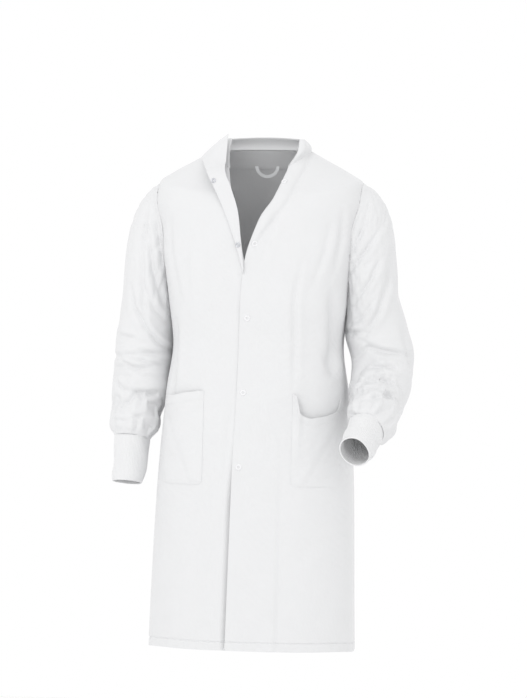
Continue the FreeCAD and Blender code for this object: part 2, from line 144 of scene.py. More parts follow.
def monotone(x, xs, ys):
    """A smooth curve through points with no overshoot (Fritsch and Carlson), at x."""
    order = np.argsort(xs)
    xs, ys = np.asarray(xs, float)[order], np.asarray(ys, float)[order]
    h = np.diff(xs)
    slope = np.diff(ys) / h
    m = np.zeros(len(xs))
    m[0], m[-1] = slope[0], slope[-1]
    same = slope[:-1] * slope[1:] > 0
    with np.errstate(divide="ignore", invalid="ignore"):
        harmonic = 2 * slope[:-1] * slope[1:] / (slope[:-1] + slope[1:])
    m[1:-1] = np.where(same, harmonic, 0.0)
    x = np.clip(x, xs[0], xs[-1])
    i = np.clip(np.searchsorted(xs, x) - 1, 0, len(h) - 1)
    t = (x - xs[i]) / h[i]
    return ((2 * t**3 - 3 * t**2 + 1) * ys[i] + (t**3 - 2 * t**2 + t) * h[i] * m[i]
            + (3 * t**2 - 2 * t**3) * ys[i + 1] + (t**3 - t**2) * h[i] * m[i + 1])


def through(points, at, columns=3):
    """Smooth curves through a table's first columns, read at fractional rows."""
    keys = np.arange(len(points))
    return np.stack([monotone(at, keys, points[:, k]) for k in range(columns)], -1)


def run_along(points):
    """Distance along a line of points, from its first one."""
    return np.concatenate([[0], np.linalg.norm(np.diff(points, axis=0), axis=1).cumsum()])


def around(count):
    return np.linspace(0, 2 * math.pi, count, endpoint=False)


def smoothstep(x, lo, hi):
    t = np.clip((x - lo) / (hi - lo), 0.0, 1.0)
    return t * t * (3 - 2 * t)


def bump(x, width):
    return np.exp(-((x / width) ** 2))


def resample(grid, rows, cols, closed=False):
    """A grid read at fractional rows and columns, with a cubic through its points."""
    def along(values, at, wrap):
        n = len(values)
        i = np.floor(at).astype(int)
        i = i if wrap else np.clip(i, 0, n - 2)
        t = (at - i)[:, None, None]
        pick = (lambda k: values[k % n]) if wrap else (lambda k: values[np.clip(k, 0, n - 1)])
        a, b, c, d = pick(i - 1), pick(i), pick(i + 1), pick(i + 2)
        return 0.5 * (2 * b + (c - a) * t + (2 * a - 5 * b + 4 * c - d) * t**2
                      + (3 * b - a - 3 * c + d) * t**3)
    down = along(grid, np.asarray(rows, float), False)
    across = along(down.transpose(1, 0, 2), np.asarray(cols, float), closed)
    return across.transpose(1, 0, 2)


def normals(grid, closed=False):
    """Unit normals of a grid, pointing out of the coat for rows downwards and columns
    counter-clockwise seen from above."""
    if closed:
        wide = np.concatenate([grid[:, -1:], grid, grid[:, :1]], axis=1)
        across = (wide[:, 2:] - wide[:, :-2])
    else:
        across = np.gradient(grid, axis=1)
    down = np.gradient(grid, axis=0)
    n = np.cross(down, across)
    return n / np.maximum(np.linalg.norm(n, axis=2, keepdims=True), 1e-12)


def noise(grid, scale, seed):
    """A smooth repeatable wave field over a grid's positions, between about -1 and 1."""
    rng = np.random.default_rng(seed)
    total = np.zeros(grid.shape[:2])
    for _ in range(7):
        direction = rng.normal(size=3)
        direction *= rng.uniform(0.6, 1.5) / (np.linalg.norm(direction) * scale)
        total += np.sin(grid @ direction * 2 * math.pi + rng.uniform(0, 2 * math.pi))
    return total / 3.0


def crease(grid, normal, path, depth, width):
    """A soft pleat pressed into a grid along a path of x, z seen from the front: a groove with a
    ridge on each side. It fades out at the ends of the path and where the cloth turns away."""
    points = np.array(path, float)
    xz = grid[..., [0, 2]]
    best = np.full(grid.shape[:2], 1e9)
    along = np.zeros(grid.shape[:2])
    spans = np.linalg.norm(np.diff(points, axis=0), axis=1)
    starts = np.concatenate([[0], np.cumsum(spans)])
    for k, (a, b) in enumerate(zip(points[:-1], points[1:])):
        d = b - a
        t = np.clip(((xz - a) @ d) / (d @ d), 0, 1)
        away = np.linalg.norm(xz - (a + t[..., None] * d), axis=2)
        cross = d[0] * (xz[..., 1] - a[1]) - d[1] * (xz[..., 0] - a[0])
        near = away < np.abs(best)
        best = np.where(near, np.where(cross < 0, -away, away), best)
        along = np.where(near, (starts[k] + t * spans[k]) / starts[-1], along)
    fade = np.sin(np.pi * np.clip(along * 0.9 + 0.05, 0, 1)) ** 0.8
    shape = -bump(best, width) + 0.60 * bump(best - 1.8 * width, 1.3 * width)
    shape += 0.25 * bump(best + 2.2 * width, 1.6 * width)
    seen = np.clip(normal[..., 1] * -5.0, 0, 1)
    return grid + normal * (shape * fade * seen * depth)[..., None]


# ---------------------------------------------------------------- meshes


def to_mesh(name, points, faces, uv=None, loop_normals=None):
    mesh = bpy.data.meshes.new(name)
    mesh.from_pydata([tuple(p) for p in points], [], [tuple(int(i) for i in f) for f in faces])
    if uv is not None:
        layer = mesh.uv_layers.new(name="cloth")
        index = np.empty(len(mesh.loops), int)
        mesh.loops.foreach_get("vertex_index", index)
        layer.data.foreach_set("uv", np.asarray(uv, np.float32)[index].ravel())
    mesh.polygons.foreach_set("use_smooth", [True] * len(mesh.polygons))
    if loop_normals is not None:
        mesh.normals_split_custom_set([tuple(n) for n in loop_normals])
    mesh.update()
    obj = bpy.data.objects.new(name, mesh)
    bpy.context.scene.collection.objects.link(obj)
    return obj


def grid_faces(rows, cols, closed, keep=None):
    r, c = np.meshgrid(np.arange(rows - 1), np.arange(cols if closed else cols - 1), indexing="ij")
    nxt = (c + 1) % cols
    quads = np.stack([r * cols + c, (r + 1) * cols + c, (r + 1) * cols + nxt, r * cols + nxt], -1)
    quads = quads.reshape(-1, 4)
    return quads if keep is None else quads[keep.reshape(-1)]


def arc_uv(grid):
    """Texture coordinates in metres of cloth, along the rows and down the columns."""
    u = np.linalg.norm(np.diff(grid, axis=1), axis=2).cumsum(axis=1)
    v = np.linalg.norm(np.diff(grid, axis=0), axis=2).cumsum(axis=0)
    u = np.pad(u, ((0, 0), (1, 0)))
    v = np.pad(v, ((1, 0), (0, 0)))
    return np.stack([u, -v], -1).reshape(-1, 2)


def cloth_piece(name, grid, normal=None, thickness=CLOTH, closed=False, keep=None):
    """A closed sheet: the grid, a second layer inside it, and a rim between them."""
    normal = normals(grid, closed) if normal is None else normal
    rows, cols = grid.shape[:2]
    quads = grid_faces(rows, cols, closed, keep)
    edges = np.concatenate([quads[:, [i, (i + 1) % 4]] for i in range(4)])
    key = np.sort(edges, axis=1)
    _, first, count = np.unique(key, axis=0, return_index=True, return_counts=True)
    border = edges[first[count == 1]]
    n = rows * cols
    outer = grid.reshape(-1, 3)
    inner = outer - normal.reshape(-1, 3) * thickness
    rim = np.stack([border[:, 1], border[:, 0], border[:, 0] + n, border[:, 1] + n], -1)
    points = np.concatenate([outer, inner])
    faces = np.concatenate([quads, quads[:, ::-1] + n, rim])
    flat = normal.reshape(-1, 3)
    a, b, c = points[rim[:, 0]], points[rim[:, 1]], points[rim[:, 3]]
    side = np.cross(b - a, c - a)
    side /= np.maximum(np.linalg.norm(side, axis=1, keepdims=True), 1e-12)
    loops = np.concatenate([
        flat[quads.reshape(-1)], -flat[quads[:, ::-1].reshape(-1)], np.repeat(side, 4, axis=0),
    ])
    used = np.zeros(2 * n, bool)
    used[faces.reshape(-1)] = True
    renumber = np.cumsum(used) - 1
    uv = np.tile(arc_uv(grid), (2, 1))
    return to_mesh(name + SUFFIX, points[used], renumber[faces], uv[used], loops)


# ---------------------------------------------------------------- torso


def torso_profile(z):
    return [monotone(z, TORSO[:, 0], TORSO[:, k]) for k in (1, 2, 3)]


def neck_tilt(cosine, z):
    """The neckline dips at the front and rises at the nape."""
    tilt = -0.050 * np.clip(cosine, 0, 1) ** 1.5 + 0.006 * np.clip(-cosine, 0, 1)
    return tilt * smoothstep(z, -0.14, 0.0)


def torso_point(theta, z, inset=0.0):
    """A point of the torso at an angle from the front, counter-clockwise from above."""
    width, depth, square = torso_profile(z)
    s, c = np.sin(theta), np.cos(theta)
    x = (width - inset) * np.sign(s) * np.abs(s) ** (2 / square)
    y = -(depth - inset) * np.sign(c) * np.abs(c) ** (2 / square)
    return np.stack([x, y, z + neck_tilt(c, z)], -1)


def edge_angle(z, x):
    width, _, square = torso_profile(z)
    return np.sign(x) * np.arcsin(np.clip(np.abs(x) / width, 0, 1) ** (square / 2))


def front_y(x, z):
    """Where the torso's front is, at a distance from its middle plane and a height."""
    width, depth, square = torso_profile(z)
    return -depth * (1 - np.clip(np.abs(x) / width, 0, 1) ** square) ** (1 / square)


def side_x(side, y, z):
    """Where the torso's side is, at a distance from its middle plane and a height."""
    width, depth, square = torso_profile(z)
    return width * (1 - np.clip(np.abs(y) / depth, 0, 1) ** square) ** (1 / square) * SIGN[side]


def torso_rows(step):
    """Heights of the rows, evenly spaced down the side of the coat."""
    fine = np.linspace(TORSO[0, 0], HEM_Z, 3000)
    width = torso_profile(fine)[0]
    run = np.concatenate([[0], np.cumsum(np.hypot(np.diff(fine), np.diff(width)))])
    return np.interp(np.linspace(0, run[-1], int(run[-1] / step)), run, fine)


def torso_grid(step):
    """The whole torso as one sheet, from the left front edge round the back to the right one.
    Returns the grid and the columns of the two side seams."""
    zs = torso_rows(step)
    counts = [int(0.30 / step), int(0.58 / step), int(0.33 / step)]
    grid = []
    for z in zs:
        dip = z + neck_tilt(0.85, z)
        start = edge_angle(z, monotone(dip, LEFT_EDGE[:, 0], LEFT_EDGE[:, 1]))
        end = 2 * math.pi + edge_angle(z, monotone(dip, RIGHT_EDGE[:, 0], RIGHT_EDGE[:, 1]))
        row = []
        ends = [start, math.pi / 2, 3 * math.pi / 2, end]
        for count, a, b in zip(counts, ends, ends[1:]):
            angles = np.linspace(a, b, 400)
            line = torso_point(angles, np.full(400, z))
            run = run_along(line)
            at = np.interp(np.linspace(0, run[-1], count + 1)[:-1], run, angles)
            row.append(torso_point(at, np.full(count, z)))
        row.append(torso_point(np.array([end]), np.array([z])))
        grid.append(np.concatenate(row))
    return np.array(grid), counts[0], counts[0] + counts[1]


def underlap(grid, normal, right_seam):
    """The right front steps in behind the left one along the front edge."""
    z = grid[..., 2]
    x = grid[..., 0]
    edge = monotone(z, LEFT_EDGE[:, 0], LEFT_EDGE[:, 1])
    below = smoothstep(z, V_BOTTOM + 0.02, V_BOTTOM - 0.04)
    deep = 0.0018 + 0.0042 * smoothstep(-z, 0.54, 0.70)
    inward = deep * smoothstep(x, edge - 0.003 - deep * 1.6, edge - 0.001) * below
    inward[:, :right_seam] = 0
    return grid - normal * inward[..., None]


TORSO_CREASES = [
    ([(0.098, -0.215), (0.086, -0.290), (0.088, -0.462)], 0.0038, 0.0055),
    ([(0.154, -0.270), (0.155, -0.35), (0.152, -0.430)], 0.0090, 0.0080),
    ([(0.140, -0.390), (0.165, -0.445)], 0.0045, 0.0080),
    ([(-0.150, -0.335), (-0.151, -0.40), (-0.154, -0.475)], 0.0080, 0.0070),
    ([(0.018, -0.469), (0.050, -0.598)], 0.0014, 0.006),
    ([(-0.079, -0.604), (-0.066, -0.749)], 0.0014, 0.007),
    ([(-0.012, -0.620), (0.003, -0.700)], 0.0014, 0.006),
    ([(0.171, -0.115), (0.168, -0.17), (0.158, -0.235)], 0.0036, 0.0050),
    ([(0.150, -0.140), (0.140, -0.20), (0.118, -0.27)], 0.0026, 0.0060),
    ([(0.050, -0.110), (0.034, -0.17), (0.020, -0.23)], 0.0018, 0.0070),
    ([(-0.166, -0.13), (-0.160, -0.20), (-0.140, -0.29)], 0.0030, 0.0060),
    ([(-0.120, -0.15), (-0.126, -0.22), (-0.120, -0.30)], 0.0016, 0.0070),
    ([(-0.030, -0.480), (-0.036, -0.56), (-0.042, -0.66)], 0.0020, 0.0060),
]


def shape_torso(step):
    grid, left_seam, right_seam = torso_grid(step)
    normal = normals(grid)
    skirt = smoothstep(-grid[..., 2], 0.45, 0.95)
    angle = np.arctan2(grid[..., 0], -grid[..., 1])
    flute = np.cos(angle * 5 + 1.2) * 0.0030 + np.cos(angle * 9 + 0.4) * 0.0012
    front = np.abs(grid[..., 0]) < 0.06
    calm = np.where(front & (grid[..., 1] < 0), 0.25, 1.0)
    grid = grid + normal * (flute * skirt * calm)[..., None]
    return underlap(grid, normals(grid), right_seam), left_seam, right_seam


def armhole_mask(grid, side):
    """Which cells of the torso fall inside an armhole, with the ring of points round it pulled
    onto the armhole's own line."""
    _, centre, half_height, half_depth = CAPS[side]
    q = np.stack([grid[..., 1] / half_depth, (grid[..., 2] - centre) / half_height], -1)
    radius = np.linalg.norm(q, axis=2)
    beside = grid[..., 0] * SIGN[side] > 0.10
    inside = (radius < 1.0) & beside
    cells = inside[:-1, :-1] & inside[1:, :-1] & inside[:-1, 1:] & inside[1:, 1:]
    cell_count = np.zeros(radius.shape, int)
    for r in (0, 1):
        for c in (0, 1):
            cell_count[r:r + cells.shape[0], c:c + cells.shape[1]] += cells
    ring = (cell_count > 0) & (cell_count < 4) & beside
    moved = grid.copy()
    target = q / radius[..., None]
    y, z = target[..., 0] * half_depth, target[..., 1] * half_height + centre
    on_line = np.stack([side_x(side, y, z), y, z], -1)
    moved[ring] = on_line[ring]
    return moved, cells


# ---------------------------------------------------------------- sleeves


def ring_angles(side, count):
    """Angles round a limb, 0 straight out of the coat and a quarter turn at the front. They run
    the way that makes the ring's normals point outwards."""
    return np.linspace(0, -SIGN[side] * 2 * math.pi, count, endpoint=False)


def armhole_ring(side, angles):
    """The armhole's line: angle 0 at the shoulder, a quarter turn further at the front."""
    _, centre, half_height, half_depth = CAPS[side]
    y = -half_depth * np.sin(angles)
    z = centre + half_height * np.cos(angles)
    return np.stack([side_x(side, y, z), y, z], -1)


def path_rings(stations, angles, step, side):
    """Rings along a limb: the first axis of each ellipse points out of the coat, the second to
    the front."""
    curve = through(stations, np.linspace(0, len(stations) - 1, 400), 5)
    run = run_along(curve[:, :3])
    at = np.linspace(0, run[-1], max(int(run[-1] / step), 3))
    curve = np.stack([np.interp(at, run, curve[:, k]) for k in range(5)], -1)
    for _ in range(6):
        smoothed = curve.copy()
        smoothed[1:-1] = 0.25 * curve[:-2] + 0.5 * curve[1:-1] + 0.25 * curve[2:]
        curve = smoothed
    tangent = np.gradient(curve[:, :3], axis=0)
    tangent /= np.linalg.norm(tangent, axis=1, keepdims=True)
    out = np.array([SIGN[side], 0, 0]) - tangent * (tangent[:, [0]] * SIGN[side])
    out /= np.linalg.norm(out, axis=1, keepdims=True)
    fore = np.cross(tangent, out) * SIGN[side]
    cos, sin = np.cos(angles)[None, :, None], np.sin(angles)[None, :, None]
    rings = (curve[:, None, :3] + out[:, None] * cos * curve[:, None, [3]]
             + fore[:, None] * sin * curve[:, None, [4]])
    return rings, tangent


def sleeve_grid(side, step, thin=1.0):
    """A whole sleeve as a closed tube, from the armhole to the top of the cuff."""
    angles = ring_angles(side, int(SLEEVE_GIRTH / step))
    stations = SLEEVES[side].copy()
    stations[:, 3:] *= thin
    limb, tangent = path_rings(stations, angles, step, side)
    start = armhole_ring(side, angles)
    if thin < 1.0:
        middle = start.mean(axis=0)
        start = middle + (start - middle) * thin
    end = limb[0]
    over = np.array(CAPS[side][0])
    under = np.array([0.55 * SIGN[side], 0.0, -0.83])
    share = (0.5 + 0.5 * np.cos(angles))[:, None]
    length = np.linalg.norm(end - start, axis=1, keepdims=True)
    m0 = (over * share + under * (1 - share)) * length * (0.55 + 0.55 * share)
    m1 = tangent[0] * length * 0.9
    rows = int(CAP_RUN / step)
    t = np.linspace(0, 1, rows, endpoint=False)[:, None, None]
    cap = ((2 * t**3 - 3 * t**2 + 1) * start + (t**3 - 2 * t**2 + t) * m0
           + (3 * t**2 - 2 * t**3) * end + (t**3 - t**2) * m1)
    return np.concatenate([cap, limb]), rows


SLEEVE_CREASES = {
    "left": [
        ([(0.258, -0.190), (0.255, -0.250), (0.238, -0.310), (0.208, -0.363)], 0.0048, 0.0055),
        ([(0.243, -0.140), (0.215, -0.19), (0.178, -0.239)], 0.0036, 0.0050),
        ([(0.244, -0.200), (0.222, -0.25), (0.188, -0.296)], 0.0036, 0.0050),
        ([(0.216, -0.100), (0.206, -0.150), (0.185, -0.200)], 0.0034, 0.0050),
        ([(0.230, -0.285), (0.212, -0.315), (0.185, -0.335)], 0.0026, 0.0045),
        ([(0.172, -0.345), (0.188, -0.350), (0.208, -0.347)], 0.0045, 0.0050),
        ([(0.197, -0.398), (0.216, -0.378), (0.257, -0.384), (0.300, -0.392)], 0.0042, 0.0050),
        ([(0.215, -0.420), (0.255, -0.412), (0.290, -0.425)], 0.0036, 0.0042),
        ([(0.210, -0.450), (0.245, -0.437), (0.285, -0.455)], 0.0034, 0.0042),
        ([(0.230, -0.480), (0.262, -0.466), (0.280, -0.480)], 0.0030, 0.0042),
    ],
    "right": [
        ([(-0.216, -0.085), (-0.222, -0.20), (-0.214, -0.345)], 0.0034, 0.0055),
        ([(-0.196, -0.140), (-0.184, -0.215)], 0.0034, 0.0045),
        ([(-0.215, -0.150), (-0.202, -0.23), (-0.180, -0.307)], 0.0038, 0.0055),
        ([(-0.245, -0.265), (-0.234, -0.31), (-0.208, -0.350)], 0.0042, 0.0050),
        ([(-0.222, -0.255), (-0.200, -0.305), (-0.178, -0.335)], 0.0032, 0.0050),
        ([(-0.214, -0.345), (-0.190, -0.375), (-0.172, -0.390)], 0.0042, 0.0050),
        ([(-0.268, -0.361), (-0.231, -0.368)], 0.0036, 0.0045),
        ([(-0.270, -0.405), (-0.245, -0.42), (-0.220, -0.428)], 0.0036, 0.0045),
        ([(-0.240, -0.405), (-0.185, -0.419)], 0.0036, 0.0045),
        ([(-0.232, -0.470), (-0.190, -0.474)], 0.0034, 0.0045),
        ([(-0.275, -0.455), (-0.250, -0.470)], 0.0030, 0.0045),
    ],
}


def scattered_creases(side):
    """Slight wrinkles across the forearm, where the sleeve's spare length bunches."""
    rng = np.random.default_rng(17 if side == "left" else 29)
    made = []
    for _ in range(SCATTERED):
        middle = rng.uniform(0.26, 0.96)
        z = -0.30 - 0.24 * middle
        x = SIGN[side] * rng.uniform(0.215, 0.255)
        half = rng.uniform(0.030, 0.052)
        slant = rng.uniform(-0.40, 0.40)
        bend = rng.uniform(-0.007, 0.007)
        path = [(x - half, z - half * slant), (x, z + bend), (x + half, z + half * slant)]
        made.append((path, rng.uniform(0.0018, 0.0030), rng.uniform(0.0048, 0.0068)))
    return made


def shape_sleeve(side, step):
    grid, cap_rows = sleeve_grid(side, step)
    normal = normals(grid, closed=True)
    rows = len(grid)
    down = np.arange(rows)[:, None] / (rows - 1)
    turn = around(grid.shape[1])[None]
    gathers = (np.cos(turn * 11 + 0.7) + 0.6 * np.cos(turn * 17 + 2.0)) * 0.0022
    near = smoothstep(down, 0.80, 0.93) * (1 - smoothstep(down, 0.965, 1.0))
    rings = noise(grid * np.array([0.5, 0.5, 1.0]), 0.055, 3 if side == "left" else 5) * 0.0022
    slack = smoothstep(down, 0.42, 0.6) * (1 - smoothstep(down, 0.9, 1.0))
    grid = grid + normal * (gathers * near + rings * slack)[..., None]
    return grid, cap_rows


# ---------------------------------------------------------------- cloth simulation


def settle(name, grid, held, form, shrink, frames, reach, closed=False, keep=None):
    """Let a grid settle as cloth over a hidden form. held is how firmly each point is pinned,
    from 0 to 1, and reach is how far it may go. A negative shrink gives the cloth spare length.
    Returns the settled grid."""
    rows, cols = grid.shape[:2]
    cloth = to_mesh(name, grid.reshape(-1, 3), grid_faces(rows, cols, closed, keep))
    group = cloth.vertex_groups.new(name="held")
    levels = np.round(np.clip(held, 0, 1).reshape(-1) * 20).astype(int)
    for level in range(1, 21):
        group.add([int(i) for i in np.nonzero(levels == level)[0]], level / 20, "REPLACE")
    form.modifiers.new("Collision", "COLLISION")
    form.collision.thickness_outer = 0.002
    form.collision.cloth_friction = 8
    modifier = cloth.modifiers.new("Cloth", "CLOTH")
    s = modifier.settings
    s.quality = 5
    s.mass = 0.2
    s.tension_stiffness = s.compression_stiffness = 25
    s.shear_stiffness = 12
    s.bending_stiffness = 6.0
    s.air_damping = 2
    s.pin_stiffness = 1.0
    s.vertex_group_mass = "held"
    s.shrink_min = shrink
    modifier.collision_settings.distance_min = 0.002
    modifier.collision_settings.collision_quality = 2
    modifier.point_cache.frame_start, modifier.point_cache.frame_end = 1, frames
    scene = bpy.context.scene
    for number in range(1, frames + 1):
        scene.frame_set(number)
    settled = cloth.evaluated_get(bpy.context.evaluated_depsgraph_get()).to_mesh()
    points = np.empty(len(settled.vertices) * 3)
    settled.vertices.foreach_get("co", points)
    scene.frame_set(1)
    bpy.data.objects.remove(cloth)
    bpy.data.objects.remove(form)
    return blunt(points.reshape(grid.shape), grid, reach)


def blunt(settled, start, reach):
    """Hold every point within a distance of where it started."""
    moved = settled - start
    far = np.linalg.norm(moved, axis=2, keepdims=True)
    return start + moved * np.where(far > reach, reach / np.maximum(far, 1e-9), 1.0)


def torso_form():
    """A closed hidden form a little inside the torso."""
    rows, turns, inset = 60, 72, 0.012
    zs = np.linspace(-0.03, HEM_Z - 0.05, rows)
    rings = np.array([torso_point(around(turns), np.full(turns, max(z, HEM_Z)), inset)
                      for z in zs])
    rings[:, :, 2] += np.minimum(zs - HEM_Z, 0)[:, None]
    return to_mesh("torso_form", rings.reshape(-1, 3), grid_faces(rows, turns, True))


def settle_torso(grid, cells):
    x, y, z = grid[..., 0], grid[..., 1], grid[..., 2]
    held = np.maximum(smoothstep(z, -0.17, -0.09) * 0.9, 0.45)
    edge = np.abs(x - monotone(z, LEFT_EDGE[:, 0], LEFT_EDGE[:, 1])) < 0.028
    held = np.where(edge & (y < 0), np.maximum(held, 0.85), held)
    held[:2] = 1
    held[:, :3] = np.maximum(held[:, :3], 0.95)
    held[:, -3:] = np.maximum(held[:, -3:], 0.95)
    for side in SIGN:
        _, centre, half_height, half_depth = CAPS[side]
        radius = np.hypot(y / half_depth, (z - centre) / half_height)
        near = 1 - smoothstep(radius, 1.03, 1.35)
        held = np.where(x * SIGN[side] > 0.1, np.maximum(held, near), held)
    return settle("torso_cloth", grid, held, torso_form(), -0.002, 18, TORSO_REACH, keep=~cells)


def settle_sleeve(side, grid):
    form_grid, _ = sleeve_grid(side, 0.010, thin=0.80)
    form = to_mesh(f"{side}_arm_form", form_grid.reshape(-1, 3),
                   grid_faces(*form_grid.shape[:2], True))
    rows = len(grid)
    down = (np.arange(rows) / (rows - 1))[:, None] * np.ones((1, grid.shape[1]))
    held = 1 - smoothstep(down, 0.01, 0.10)
    held = np.maximum(held, smoothstep(down, 0.97, 0.995))
    held = np.maximum(held, 0.10 + 0.35 * (1 - smoothstep(down, 0.35, 0.60)))
    return settle(f"{side}_sleeve_cloth", grid, held, form, -0.014, 24, SLEEVE_REACH, closed=True)


# ---------------------------------------------------------------- materials


def principled(name, **sockets):
    material = bpy.data.materials.new(name)
    material.use_nodes = True
    shader = material.node_tree.nodes["Principled BSDF"]
    for socket, value in sockets.items():
        shader.inputs[socket.replace("_", " ")].default_value = value
    return material, material.node_tree, shader


def node(tree, kind, links=(), **values):
    made = tree.nodes.new(kind)
    for key, value in values.items():
        if key in made.inputs:
            made.inputs[key].default_value = value
        else:
            setattr(made, key, value)
    for socket, source in links:
        tree.links.new(source, made.inputs[socket])
    return made


def math_node(tree, operation, a, b=None):
    made = tree.nodes.new("ShaderNodeMath")
    made.operation = operation
    for i, value in enumerate((a, b)):
        if value is None:
            continue
        if isinstance(value, (int, float)):
            made.inputs[i].default_value = value
        else:
            tree.links.new(value, made.inputs[i])
    return made.outputs[0]


def speckle(tree, **values):
    """Noise that stays in place on the object."""
    coords = node(tree, "ShaderNodeTexCoord")
    texture = node(tree, "ShaderNodeTexNoise", [("Vector", coords.outputs["Object"])], **values)
    return texture.outputs[0]


def waves(tree, axis, waves_per_metre):
    """Waves along one direction of a cloth's texture coordinates."""
    uv = node(tree, "ShaderNodeUVMap", uv_map="cloth")
    place = node(tree, "ShaderNodeSeparateXYZ", [("Vector", uv.outputs[0])])
    turns = math_node(tree, "MULTIPLY", place.outputs[axis], waves_per_metre * 2 * math.pi)
    return math_node(tree, "SINE", turns)


def bumps(tree, shader, layers):
    """Bumps on top of one another, finest first: height, strength and distance of each."""
    below = None
    for height, strength, distance in layers:
        links = [("Height", height)] + ([("Normal", below)] if below else [])
        made = node(tree, "ShaderNodeBump", links, Strength=strength, Distance=distance)
        below = made.outputs[0]
    tree.links.new(below, shader.inputs["Normal"])


def tinted(tree, shader, share, light, darker):
    """A colour that a texture takes down to a darker share of itself."""
    mix = node(tree, "ShaderNodeMixRGB", [("Fac", share)])
    mix.inputs[1].default_value = (*[c * darker for c in light], 1)
    mix.inputs[2].default_value = (*light, 1)
    tree.links.new(mix.outputs[0], shader.inputs["Base Color"])


def poplin(name, tint, threads_per_metre=2400.0):
    """White poplin: crossing threads as bump, faint slubs and creasing, a soft sheen. The creasing
    noise also darkens the colour where its bump is low, as painted shade in the creases.
    """
    material, tree, shader = principled(name, Roughness=0.78, Sheen_Weight=0.12,
                                        Sheen_Roughness=0.5, Specular_IOR_Level=0.25)
    weave = math_node(tree, "MULTIPLY", waves(tree, 0, threads_per_metre / 2),
                      waves(tree, 1, threads_per_metre * 0.35))
    slub = speckle(tree, Scale=260.0, Detail=3.0)
    crumple_and_painted_shade = speckle(tree, Scale=26.0, Detail=5.0, Roughness=0.55)
    bumps(tree, shader, [(weave, 0.12, 0.00006), (slub, 0.2, 0.0004), (crumple_and_painted_shade, 0.22, 0.004)])
    # painted shade: the colour is taken down where the creasing bump is low
    tinted(tree, shader, crumple_and_painted_shade, tint, 0.965)
    return material


def knit(name, tint):
    """Rib knit: fine stitch loops along each rib, and a fine fuzz as bump that also darkens the
    colour in its hollows as painted shade.
    """
    material, tree, shader = principled(name, Roughness=0.9, Sheen_Weight=0.25)
    stitch = 0.0012
    fuzz_and_painted_shade = speckle(tree, Scale=900.0, Detail=2.0)
    bumps(tree, shader, [(waves(tree, 1, 1 / stitch), 0.5, 0.0002), (fuzz_and_painted_shade, 0.4, 0.0002)])
    # painted shade: the colour is darker where the fuzz bump is low
    tinted(tree, shader, fuzz_and_painted_shade, tint, 0.93)
    return material


def hard(name, color, metallic, roughness):
    """Turned metal or moulded plastic with faint handling marks in roughness and bump; the same
    marks darken the colour where their bump is low, as painted shade.
    """
    material, tree, shader = principled(name, Metallic=metallic)
    marks_and_painted_shade = speckle(tree, Scale=1400.0, Detail=3.0)
    spread = node(tree, "ShaderNodeMapRange", [("Value", marks_and_painted_shade)])
    spread.inputs["To Min"].default_value = roughness - 0.06
    spread.inputs["To Max"].default_value = roughness + 0.08
    tree.links.new(spread.outputs[0], shader.inputs["Roughness"])
    bumps(tree, shader, [(marks_and_painted_shade, 0.15, 0.00005)])
    # painted shade: the colour is darker where the marks' bump is low
    tinted(tree, shader, marks_and_painted_shade, color, 0.94)
    return material


WHITE = (0.77, 0.773, 0.78)
MATERIALS = {
    "coat_cloth": poplin("white_poplin", WHITE),
    "rib_knit": knit("white_rib_knit", (0.84, 0.843, 0.85)),
    "interlining": poplin("interlining_felt", (0.80, 0.80, 0.78), 1200.0),
    "tape": poplin("loop_tape", (0.84, 0.85, 0.86), 1500.0),
    "snap_cap": hard("snap_enamel", (0.86, 0.86, 0.87), 0.0, 0.28),
    "snap_metal": hard("snap_steel", (0.62, 0.63, 0.66), 1.0, 0.30),
}


def dress(obj, slot, *nodes):
    """Give a piece the material kept under a slot name, and hide the CAD nodes that it stands for.
    """
    obj.data.materials.clear()
    obj.data.materials.append(MATERIALS[slot])
    if nodes:
        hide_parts(*nodes)
    return obj


# ---------------------------------------------------------------- building the cloth


def finer(grid, times, closed=False):
    rows, cols = grid.shape[:2]
    at_rows = np.linspace(0, rows - 1, (rows - 1) * times + 1)
    at_cols = (np.arange(cols * times) / times if closed
               else np.linspace(0, cols - 1, (cols - 1) * times + 1))
    return resample(grid, at_rows, at_cols, closed)


def finer_torso(grid, cells):
    """The torso with more points, closer together along the hem's stitched line. Also returns
    which of its cells lie in an armhole."""
    rows, cols = grid.shape[:2]
    heights = grid[:, cols // 2, 2]
    line = float(np.interp(-(HEM_Z + HEM), -heights, np.arange(rows)))
    even = np.linspace(0, rows - 1, (rows - 1) * FINE + 1)
    even = even[np.abs(even - line) > 0.9]
    at_rows = np.sort(np.concatenate([even, np.linspace(line - 0.9, line + 0.9, 15)]))
    at_cols = np.linspace(0, cols - 1, (cols - 1) * FINE + 1)
    row_cell = np.floor((at_rows[:-1] + at_rows[1:]) / 2).astype(int)
    col_cell = np.floor((at_cols[:-1] + at_cols[1:]) / 2).astype(int)
    return resample(grid, at_rows, at_cols), cells[row_cell][:, col_cell]


def front_blend(obj):
    """Bake a piece's transform into its points."""
    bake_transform(obj)


torso, LEFT_SEAM, RIGHT_SEAM = shape_torso(SIM_STEP)
cells = np.zeros((torso.shape[0] - 1, torso.shape[1] - 1), bool)
for side in SIGN:
    torso, hole = armhole_mask(torso, side)
    cells |= hole
torso = settle_torso(torso, cells)
torso_fine, cells_fine = finer_torso(torso, cells)


def hem_groove(grid, normal):
    """The stitched line above the hem, and a slightly puckered edge below it."""
    z = grid[..., 2]
    line = HEM_Z + HEM
    puckers = noise(grid, 0.03, 11) * 0.0006 * (z < line + 0.004)
    depth = 0.0017 * bump(z - line, 0.0013) + puckers
    return grid - normal * depth[..., None]


